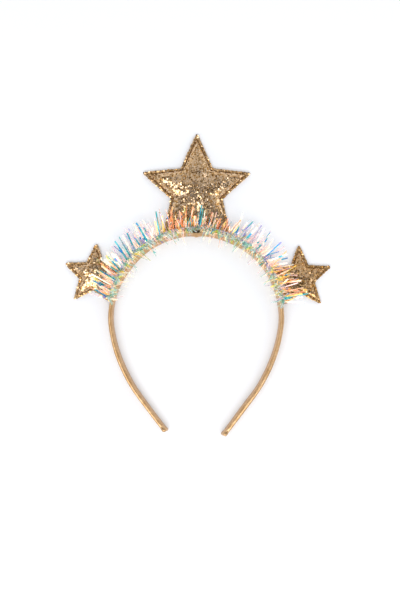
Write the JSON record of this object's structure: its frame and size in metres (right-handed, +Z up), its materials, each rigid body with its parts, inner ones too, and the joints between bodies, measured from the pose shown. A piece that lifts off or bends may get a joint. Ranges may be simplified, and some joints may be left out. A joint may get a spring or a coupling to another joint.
{
  "type": "star headband",
  "caption": "Costume headband: a cloth-covered alice band with padded glitter stars sewn to its outside and an iridescent tinsel garland along its crown.",
  "frame": {"origin": "on the table under the middle of the whole headband's box, as it lies flat", "axes": "+Z up from the table, towards the faces of the stars; +Y from the open ends of the band to the large star; +X towards the right small star"},
  "size_m": [0.1846, 0.21, 0.0155],
  "materials": {
    "gold_cover": "pale gold metallic cloth, satin",
    "glitter_cloth": "gold glitter, sparkling",
    "star_backing": "gold cloth, dull",
    "tinsel_film": "clear iridescent film, glossy",
    "tinsel_cord": "twisted thread, satin"
  },
  "bodies": {
    "root": {"band": "gold_cover", "tinsel_core": "tinsel_cord", "tinsel_fringe": "tinsel_film", "large_star_front": "glitter_cloth", "large_star_back": "star_backing", "left_star_front": "glitter_cloth", "left_star_back": "star_backing", "right_star_front": "glitter_cloth", "right_star_back": "star_backing"}
  },
  "joints": []
}
